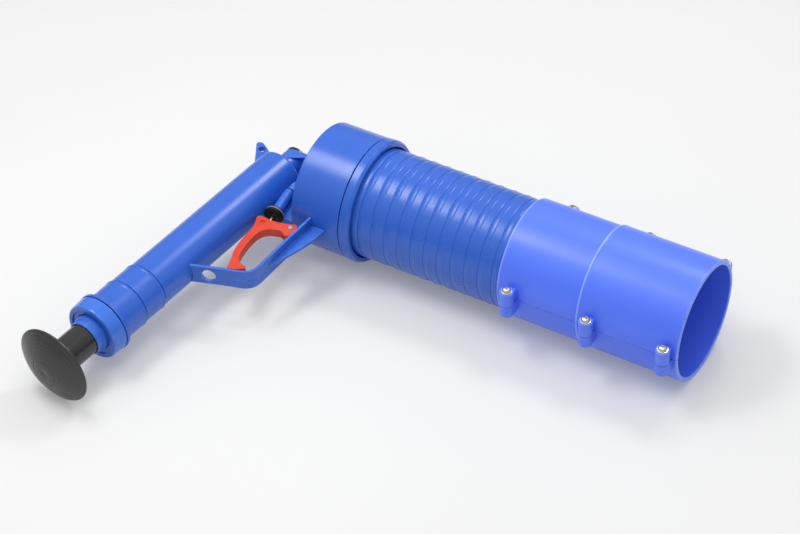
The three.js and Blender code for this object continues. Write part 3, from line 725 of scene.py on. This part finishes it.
def sleeve_half(upper):
    half = lathe([
        (SLEEVE_X0, SLEEVE_BORE1, 0.25), (SLEEVE_X0, SLEEVE_R1 + 0.05, 0.6),
        (SLEEVE_X0 + 1.6, SLEEVE_R1 + 0.05, 0.2), (SLEEVE_X0 + 2.0, SLEEVE_R1, 0.2),
        (SLEEVE_STEP - 0.4, SLEEVE_R1, 0.15), (SLEEVE_STEP + 0.1, SLEEVE_R2 + 0.25, 0.5),
        (SLEEVE_STEP + 1.9, SLEEVE_R2 + 0.2, 0.4), (SLEEVE_STEP + 2.5, SLEEVE_R2, 0.2),
        (MUZZLE_X, SLEEVE_R2 - 0.1, 1.0), (MUZZLE_X, SLEEVE_BORE2, 0.8),
        (SLEEVE_STEP + 3, SLEEVE_BORE2, 0.4), (SLEEVE_STEP + 1.5, SLEEVE_BORE1, 0.4),
    ], BARREL, 180, 4, (0.0, math.pi) if upper else (math.pi, 2 * math.pi), SLEEVE_GAP)
    for _, x, y in LUGS:
        if upper:
            lug = rounded_prism(disc(x, y, LUG_R), SLEEVE_GAP, LUG_H, 0.25, 4, 0.6)
            fuse(lug, rounded_prism(capsule(x, y, 4.3, LUG_INNER), SLEEVE_GAP, LUG_H - 2.4,
                                    0.25, 3, 0.8))
        else:
            lug = rounded_prism(capsule(x, y, LUG_R, LUG_INNER), -LUG_D, -SLEEVE_GAP,
                                1.9, 6, 0.25)
            cut(lug, rod(-20, NUT_TOP + 0.15, 4.35, z_axis(x, y), 6))  # nut pocket
        cut(lug, rod(SLEEVE_X0 - 20, MUZZLE_X + 20, SLEEVE_BORE1 + 0.25, BARREL, 180))
        fuse(half, lug)
    for _, x, y in LUGS:
        cut(half, rod(-20, 20, SCREW_R + 0.25, z_axis(x, y), 32))
    return half


def screw(axis):
    """A domed screw with a hexagonal socket."""
    body = lathe([
        (-LUG_D - 0.3, 0), (-LUG_D - 0.3, SCREW_R, 0.5), (HEAD_Z, SCREW_R, 0.1),
        (HEAD_Z, 3.65, 0.15), (HEAD_Z + 0.8, 3.65, 0.5), (HEAD_Z + 1.9, 2.9, 0.8),
        (HEAD_Z + 2.5, 1.6, 0.3), (HEAD_Z + 2.5, 0)], axis, 64)
    return cut(body, rod(HEAD_Z + 0.7, HEAD_Z + 5, 1.85, axis, 6))


def clamp_nut(axis):
    """A hexagonal nut with chamfered corners."""
    nut = rod(NUT_TOP - NUT_H, NUT_TOP, NUT_R, axis, 6)
    chamfer = lathe([
        (NUT_TOP - 3.01, 0), (NUT_TOP - 3.01, 3.45), (NUT_TOP - 2.6, 4.1), (NUT_TOP - 0.4, 4.1),
        (NUT_TOP + 0.01, 3.45), (NUT_TOP + 0.01, 0)], axis, 64)
    boolean(nut, chamfer, "INTERSECT")
    return cut(nut, rod(-LUG_D - 5, 2, SCREW_R + 0.15, axis, 48))


place(sleeve_half(True), "sleeve_upper", VIOLET, 28)
place(sleeve_half(False), "sleeve_lower", VIOLET, 28)
for tag, x, y in LUGS:
    axis = z_axis(x, y)
    turned("washer_" + tag, STEEL, axis, [
        (WASHER_Z, 2.3, 0.1), (WASHER_Z, 4.7, 0.15),
        (LUG_H + 0.9, 4.7, 0.25), (LUG_H + 0.9, 2.3, 0.1)], segs=64)
    place(screw(axis), "screw_" + tag, STEEL)
    place(clamp_nut(axis), "nut_" + tag, STEEL)

# ---------- pump ----------
EYE_AXIS = z_axis(-68.0, 8.6)
# plan of the flat lug beside the tube, (x, y)
TUBE_LUG = [
    (-50.7, -9), (-50.7, -3.4), (-50.7, 1.6), (-52.6, 3.8), (-55.0, 5.2), (-58.6, 7.6),
    (-62.1, 9.9), (-66.4, 12.8), (-70.8, 15.7), (-72.6, 16.4), (-74.6, 16.2), (-76.2, 15.2),
    (-76.7, 13.2), (-74.4, 9.0), (-71.0, 3.1), (-65.5, -6.6), (-61.7, -13.3), (-58.0, -19.8),
    (-52, -19.8), (-50.7, -14)]


def grip_tube():
    tube = lathe([
        (6.0, 0), (6.0, TUBE_R, 2.6), (177.7, TUBE_R, 0.15), (177.8, TUBE_R - 1.2, 0.1),
        (178.9, TUBE_R - 1.2, 0.1), (179.0, TUBE_R + 1.05, 0.3), (180.9, TUBE_R + 0.85, 0.4),
        (181.5, TUBE_R + 0.6, 0.3), (200.7, TUBE_R + 0.6, 0.15), (200.8, TUBE_R - 0.6, 0.1),
        (201.9, TUBE_R - 0.6, 0.1), (202.0, TUBE_R + 1.55, 0.3), (203.9, TUBE_R + 1.35, 0.4),
        (204.5, TUBE_R + 1.1, 0.3), (226.0, TUBE_R + 1.1, 0.4), (226.0, 25.7, 0.5),
        (228.8, 25.7, 0.3), (228.8, 21.5, 0.1), (238.5, 21.5, 0.3), (238.5, TUBE_BORE, 0.3),
        (10, TUBE_BORE, 1.0), (10, 0)], PUMP)
    lug = rounded_prism(smooth_loop(TUBE_LUG, 4), -2.2, 2.2, 0.5, 3)
    fuse(lug, lathe([(-2.5, 0), (-2.5, 4.5, 0.5), (2.5, 4.5, 0.5), (2.5, 0)], EYE_AXIS, 48))
    flared_hole = lathe([(-6, 0), (-6, 4.6), (-2.4, 3.3, 0.5), (2.4, 3.3, 0.5), (6, 4.6),
                         (6, 0)], EYE_AXIS, 48)
    cut(lug, flared_hole, rod(7, 240, TUBE_BORE + 1.0, PUMP, 160))
    fuse(tube, lug)
    cut(tube, rod(2, 14, 3.4, PUMP, 48))
    stop = lathe([(222.6, 20.9), (222.6, 22.6, 0.5), (225.0, 22.6, 0.5), (225.0, 20.9)],
                 PUMP, 24, 4, (math.radians(66), math.radians(114)))
    return fuse(tube, stop)


def knob_profile():
    """A domed face with fine moulding rings, two grooves and a centre dimple, then the back."""
    face_r, crown, fall = 33.1, 297.6, 10.6
    face = []
    for k in range(111):
        r = face_r * k / 110
        dome = crown - fall * (r / face_r) ** 2.15
        dimple = -0.75 * math.exp(-((r / 3.4) ** 2))
        rings = 0.045 * math.sin(2 * math.pi * r / 2.9) * (1 if 5 < r < 31 else 0)
        grooves = (-0.28 * math.exp(-(((r - 11.5) / 0.55) ** 2))
                   - 0.22 * math.exp(-(((r - 30.4) / 0.45) ** 2)))
        face.append((dome + dimple + rings + grooves, r))
    back = rounded([
        (287.2, 33.2), (286.3, 33.7, 0.5), (285.2, 33.55, 0.5), (284.5, 32.2, 0.5),
        (286.2, 28, 3.0), (287.6, 21, 2.0), (287.3, 15.8, 0.9), (284.4, 14.8, 0.2),
        (284.4, 10.9, 0.1), (272, 10.9, 0.4), (272, 0)], False, 4)
    return face + back[1:]


place(grip_tube(), "grip_tube", BLUE, 30)
turned("pump_end_cap", BLUE_CAP, PUMP, [
    (229.6, 22.1, 0.1), (229.6, 25.4, 0.5), (231.0, 25.3, 0.6), (242.6, 24.4, 1.7),
    (242.6, 20.6, 0.8), (240.9, 19.8, 0.5), (240.9, 16.6, 0.15), (239.2, 16.6, 0.1),
    (239.2, 22.1, 0.2)])
turned("gland_collar", BLUE_CAP, PUMP, [
    (231.0, 13.9, 0.2), (231.0, 17.5, 0.3), (238.9, 17.5, 0.2), (238.9, 16.2, 0.2),
    (244.5, 16.2, 0.4), (244.9, 15.3, 0.3), (250.7, 14.95, 0.5), (251.1, 13.9, 0.2)], segs=128)
turned("pump_rod", BLACK, PUMP, [
    (38, 3.3, 0.1), (38, 13.6, 0.4), (274, 13.6, 6.0), (284.1, 14.5, 0.2), (284.1, 11.2, 0.1),
    (42, 11.2, 0.3), (42, 3.3, 0.1)], segs=128)
turned("pump_knob", CHARCOAL, PUMP, knob_profile(), segs=200, angle=40)
turned("pump_piston", BLACK, PUMP, [
    (26, 3.3, 0.1), (26, 17.3, 0.8), (29, 17.3, 0.1), (29, 15.2, 0.1), (33.2, 15.2, 0.1),
    (33.2, 17.3, 0.1), (37.8, 17.3, 0.3), (37.8, 3.3, 0.1)], segs=96)
turned("piston_cup_seal", RUBBER, PUMP, [
    (29.2, 15.4, 0.1), (29.2, 17.75, 0.2), (30.6, 17.75, 0.4), (33.0, 16.9, 0.2),
    (33.0, 15.4, 0.1)], segs=96)
turned("piston_screw", STEEL, PUMP, [
    (22.6, 0), (22.6, 5.2, 0.9), (25.8, 5.8, 0.2), (25.8, 3.0, 0.1), (47.5, 3.0, 0.4),
    (47.5, 0)], segs=64)
place(cut(rod(42.2, 46.4, 5.7, PUMP, 6), rod(40, 50, 3.15, PUMP, 48)), "piston_nut", STEEL)

# ---------- neck, duct and check valve ----------
AIR_Y, AIR_R = 5, 2.2  # passage shared by the neck and the duct
DUCT_X1, DUCT_Y0 = -0.3, -24.3


def neck():
    body = lathe([
        (5.8, 3.6, 0.2), (5.8, NECK_R + 0.3, 0.3), (-13.4, NECK_R, 0.4), (-13.4, 6.5, 0.3),
        (2.2, 6.5, 0.3), (2.2, 3.6, 0.2)], PUMP, 96)
    web = divided([(-38.8, 0.3), (-25.3, 7.6), (-0.5, 7.6), (-0.5, 13.0), (-37.6, 13.0),
                   (-41.0, 6.0), (-40.6, 1.4)])
    fuse(body, rounded_prism(web, 9.4, 10.95, 0.3, 3))
    return cut(body, rod(-30, 0, AIR_R, x_axis(-3, AIR_Y, AIR_Z), 32))


def duct():
    """A flat block with a step and a shelf, hollowed round the tube and the neck."""
    block = rounded_prism(plate_outline(-32, DUCT_X1, DUCT_Y0, 15.5, 1.2), -12, -3.6, 1.0)
    fuse(block,
         rounded_prism(plate_outline(-21.5, DUCT_X1, DUCT_Y0, -15.0, 1.0), -6, 4.0, 0.6),
         rounded_prism(plate_outline(-20, DUCT_X1, -50.4, -22, 1.0), -12.01, -5, 0.6))
    cut(block, rod(5.6, 60, TUBE_R + FIT, PUMP, 128), rod(-30, 6, NECK_R + 0.65, PUMP, 96),
        rod(-34, 2, AIR_R, x_axis(0, AIR_Y, AIR_Z), 32),
        rod(-12, 2, 1.5, x_axis(0, -19, AIR_Z), 32))
    return largest(block)


place(neck(), "check_valve_housing", BLUE)
turned("check_valve_cap", BLACK, PUMP, [
    (-9.4, 0), (-9.4, 6.2, 0.2), (-13.6, 6.2, 0.1), (-13.6, 10.9, 0.3), (-16.2, 10.9, 0.8),
    (-16.2, 0)], segs=96)
turned("check_poppet", RUBBER, PUMP, [
    (1.9, 0), (1.9, 5.4, 0.4), (0.2, 5.4, 0.4), (-0.6, 2.2, 0.3), (-4.6, 2.0, 0.3),
    (-4.6, 0)], segs=64)
spring("check_spring", PUMP, start=-9.2, end=-0.3, coil_r=3.7, wire=0.45, turns=4,
       mover="check_plunger")
place(duct(), "transfer_duct", BLUE, 30)

# ---------- release valve ----------
valve = lathe([
    (-18.4, 1.0, 0.1), (-18.4, VALVE_R, 0.3), (10.1, VALVE_R, 0.4), (10.1, 3.1, 0.2),
    (-6.0, 3.1, 0.2), (-6.0, 1.0, 0.1)], VALVE, 64)
place(cut(valve, rod(5.6, 60, TUBE_R + FIT, PUMP, 160)), "valve_tube", BLUE_CAP)
turned("valve_cap_nut", BLACK_CAP, VALVE, [
    (8.8, 4.95, 0.1), (8.8, VALVE_CAP_R, 0.7), (9.8, VALVE_CAP_R, 0.15), (9.8, 7.4, 0.1),
    (11.2, 7.4, 0.1), (11.2, VALVE_CAP_R, 0.2), (13.2, VALVE_CAP_R, 0.5), (14.5, 6.4, 0.5),
    (14.5, 2.05, 0.3), (10.4, 2.05, 0.1), (10.4, 4.95, 0.1)], segs=96)
place(ring(10.5, 8.1, 0.58, VALVE, 96), "valve_oring", SILICONE)
turned("valve_stem", BRASS, VALVE, [
    (1.0, 0), (1.0, 2.8, 0.3), (3.2, 2.8, 0.3), (3.6, 1.75, 0.2), (20.45, 1.75, 0.9),
    (20.45, 0)], segs=48)
spring("valve_spring", VALVE, start=-5.8, end=0.8, coil_r=2.2, wire=0.35, turns=3.5,
       mover="valve_plunger")

# ---------- trigger ----------
# side outline, (x, y)
TRIGGER = [
    (10.4, -60.6), (5.5, -62.2), (2.0, -63.2), (-2.2, -64.2), (-6.5, -65.0), (-11.5, -65.1),
    (-16.0, -64.7), (-20.0, -64.3), (-22.2, -65.2), (-23.0, -67.6), (-21.6, -71.5),
    (-19.8, -76.5), (-18.9, -82), (-18.9, -90), (-18.6, -98.5), (-17.6, -106.8),
    (-15.6, -114.4), (-13.0, -121.0), (-11.2, -126.4), (-10.7, -129.2), (-9.2, -130.2),
    (-5.5, -129.7), (-1.0, -127.6), (2.2, -125.6), (3.1, -123.9), (1.8, -122.0),
    (-1.5, -121.2), (-5.4, -119.6), (-8.0, -116.2), (-9.9, -111.8), (-11.4, -103.6),
    (-12.0, -94.1), (-11.8, -86.4), (-10.1, -80.2), (-6.5, -76.2), (-2.5, -74.2),
    (1.8, -73.0), (5.0, -73.4), (8.0, -75.2), (10.8, -76.0), (12.7, -74.6), (13.8, -69.8),
    (14.0, -64.5), (12.8, -61.6)]
recess = [(2.6, 0), (2.6, 1.9, 0.4), (3.5, 2.0), (4.2, 2.6), (6, 2.6), (6, 0)]
slot = [(5.6, -79), (9.0, -79), (9.0, -71.6), (5.6, -71.6)]
place(cut(rounded_prism(smooth_loop(TRIGGER, 4), -TRIGGER_HALF, TRIGGER_HALF, 0.6),
          rod(-6, 6, 2.1, PIVOT_AXIS, 48), lathe(recess, z_axis(-15.6, -70.2), 48),
          prism(slot, -1.6, 1.6)), "trigger", RED, 30)
turned("trigger_pin", PIN_STEEL, PIVOT_AXIS, [
    (-8.6, 0), (-8.6, 3.4, 0.4), (-7.7, 3.4, 0.1), (-7.7, 2.0, 0.1), (4.7, 2.0, 0.5),
    (4.7, 0)], segs=48)

# ---------- guard ----------
# centre line of the strip, then outlines of its web and pivot bracket, (x, y)
GUARD_PATH = [
    (-44, -149.2), (-31, -144.6), (-20.5, -141.2), (-8.0, -137.2), (4.0, -133.8),
    (9.2, -131.6), (12.6, -128.4), (14.4, -123.6), (15.1, -115.0), (16.0, -100.0),
    (17.0, -84.0), (18.2, -68.0), (19.6, -48.0)]
GUARD_WEB = [
    (16.4, -110), (18.0, -107), (21.2, -99), (24.6, -90), (27.8, -80.5), (30.6, -71),
    (32.4, -62), (33.8, -48), (26, -47), (18.8, -48), (18.2, -60), (17.2, -80), (16.4, -96)]
BRACKET = [
    (18.6, -58.5), (18.0, -67), (17.4, -76.5), (13.4, -74.8), (9.4, -72.6), (6.4, -70.9),
    (4.6, -68.6), (4.1, -65.6), (4.4, -62.8), (6.4, -61.0), (9.2, -60.2), (14, -59.2)]
GUARD_HOLE_AT, GUARD_HOLE_R = (-20.6, -141.2, 0), 5.9


def guard():
    path = smooth_loop(GUARD_PATH, 5, False)
    left, right = [], []
    for i, (x, y) in enumerate(path):
        (x0, y0), (x1, y1) = path[max(i - 1, 0)], path[min(i + 1, len(path) - 1)]
        dx, dy = x1 - x0, y1 - y0
        length = math.hypot(dx, dy)
        left.append((x - dy / length * GUARD_T / 2, y + dx / length * GUARD_T / 2))
        right.append((x + dy / length * GUARD_T / 2, y - dx / length * GUARD_T / 2))
    body = rounded_prism(right + left[::-1], -GUARD_HALF, GUARD_HALF, 0.5)
    fuse(body, rounded_prism(smooth_loop(GUARD_WEB, 4), -1.4, 1.4, 0.5, 3),
         rounded_prism(smooth_loop(BRACKET, 3), -7.5, -4.4, 0.4, 2))
    # the hole stands square to the strip
    (x0, y0), (x1, y1) = GUARD_PATH[1], GUARD_PATH[3]
    slope = math.atan2(y1 - y0, x1 - x0)
    hole_axis = (Vector(GUARD_HOLE_AT), Vector((-math.sin(slope), math.cos(slope), 0)),
                 Vector((math.cos(slope), math.sin(slope), 0)), Z)
    cut(body, rod(-6, 6, GUARD_HOLE_R, hole_axis), rod(5, 240, TUBE_R + 0.3, PUMP, 160),
        rod(-5, DRUM_L + 8, DRUM_R + 0.3, BARREL, 200), rod(-12, 6, 2.08, PIVOT_AXIS, 48))
    return largest(body)


place(guard(), "trigger_guard", BLUE, 30)

# ---------- floor ----------
lo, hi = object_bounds()
mid_x, mid_y = (lo.x + hi.x) / 2, (lo.y + hi.y) / 2
bpy.ops.mesh.primitive_plane_add(size=4, location=(mid_x, mid_y, min(0.0, CAD_LO.z)))
floor = bpy.context.object
floor.name = "floor"
paper = Shader("floor_paper")
paper.surface({
    "Base Color": paper.mix(paper.spread(paper.noise(scale=3, detail=3), low=0, high=1),
                            (0.535, 0.537, 0.532), (0.555, 0.557, 0.552)),
    "Roughness": paper.spread(paper.noise(scale=40, detail=3), low=0.62, high=0.72),
    "Specular IOR Level": 0.12,
    "Emission Color": (1, 1, 1),
    "Emission Strength": 0.18})
floor.data.materials.append(paper.material)

# ---------- world: darker low down, bright overhead, so the sides keep their depth ----------
SKY = ((0.0, 0.26), (0.45, 0.85), (0.9, 1.05))  # (height, grey)
SKY_STRENGTH = 0.82
world = bpy.data.worlds.new("studio")
bpy.context.scene.world = world
world.use_nodes = True
nodes, links = world.node_tree.nodes, world.node_tree.links
coords = nodes.new("ShaderNodeTexCoord")
split = nodes.new("ShaderNodeSeparateXYZ")
sky = nodes.new("ShaderNodeValToRGB")
links.new(coords.outputs["Generated"], split.inputs[0])
links.new(split.outputs["Z"], sky.inputs[0])
sky.color_ramp.elements.new(0.5)
for element, (height, grey) in zip(sky.color_ramp.elements, SKY):
    element.position, element.color = height, (grey, grey, grey, 1)
links.new(sky.outputs[0], nodes["Background"].inputs[0])
nodes["Background"].inputs[1].default_value = SKY_STRENGTH

# ---------- lights, aimed at the middle of the tool ----------
TARGET = Vector((mid_x, mid_y, 0.03))
# name, (x, y) from the target and height in metres, (width, depth) in metres, watts
LIGHTS = (
    ("softbox", (-0.52, -0.16, 1.15), (0.55, 0.32), 6.0),
    ("back_high", (0.12, 0.66, 1.00), (0.36, 0.20), 3.4),
    ("overhead", (0.25, -0.45, 1.25), (0.9, 0.7), 3.4))
for name, (dx, dy, z), (width, depth), watts in LIGHTS:
    light = bpy.data.lights.new(name, "AREA")
    light.shape, light.size, light.size_y = "RECTANGLE", width, depth
    light.energy = watts
    lamp = bpy.data.objects.new(name, light)
    bpy.context.scene.collection.objects.link(lamp)
    lamp.location = (mid_x + dx, mid_y + dy, z)
    lamp.rotation_mode = "QUATERNION"
    aim = TARGET - Vector((mid_x + dx, mid_y + dy, z))
    lamp.rotation_quaternion = aim.to_track_quat("-Z", "Y")

# ---------- camera: x and y from the design origin, metres; angles in degrees ----------
CAMERA_DX, CAMERA_DY, CAMERA_Z = 0.89725, -1.3477, 1.25647
AZIMUTH, ELEVATION, ROLL = (math.radians(a) for a in (31.4553, 38.6729, -0.684))
lens = bpy.data.cameras.new("camera")
lens.sensor_fit, lens.sensor_width, lens.lens = "HORIZONTAL", 36.0, 108.56
lens.clip_start, lens.clip_end = 0.05, 50
camera = bpy.data.objects.new("camera", lens)
bpy.context.scene.collection.objects.link(camera)
view = Vector((-math.sin(AZIMUTH) * math.cos(ELEVATION),
               math.cos(AZIMUTH) * math.cos(ELEVATION), -math.sin(ELEVATION)))
roll = Matrix.Rotation(ROLL, 3, "Z").to_quaternion()
camera.rotation_mode = "QUATERNION"
camera.location = Vector((origin.x + CAMERA_DX, origin.y + CAMERA_DY, CAMERA_Z))
camera.rotation_quaternion = view.to_track_quat("-Z", "Y") @ roll
bpy.context.scene.camera = camera

display = bpy.context.scene.view_settings
display.view_transform, display.look = "Standard", "None"
display.exposure, display.gamma = 0.0, 1.0
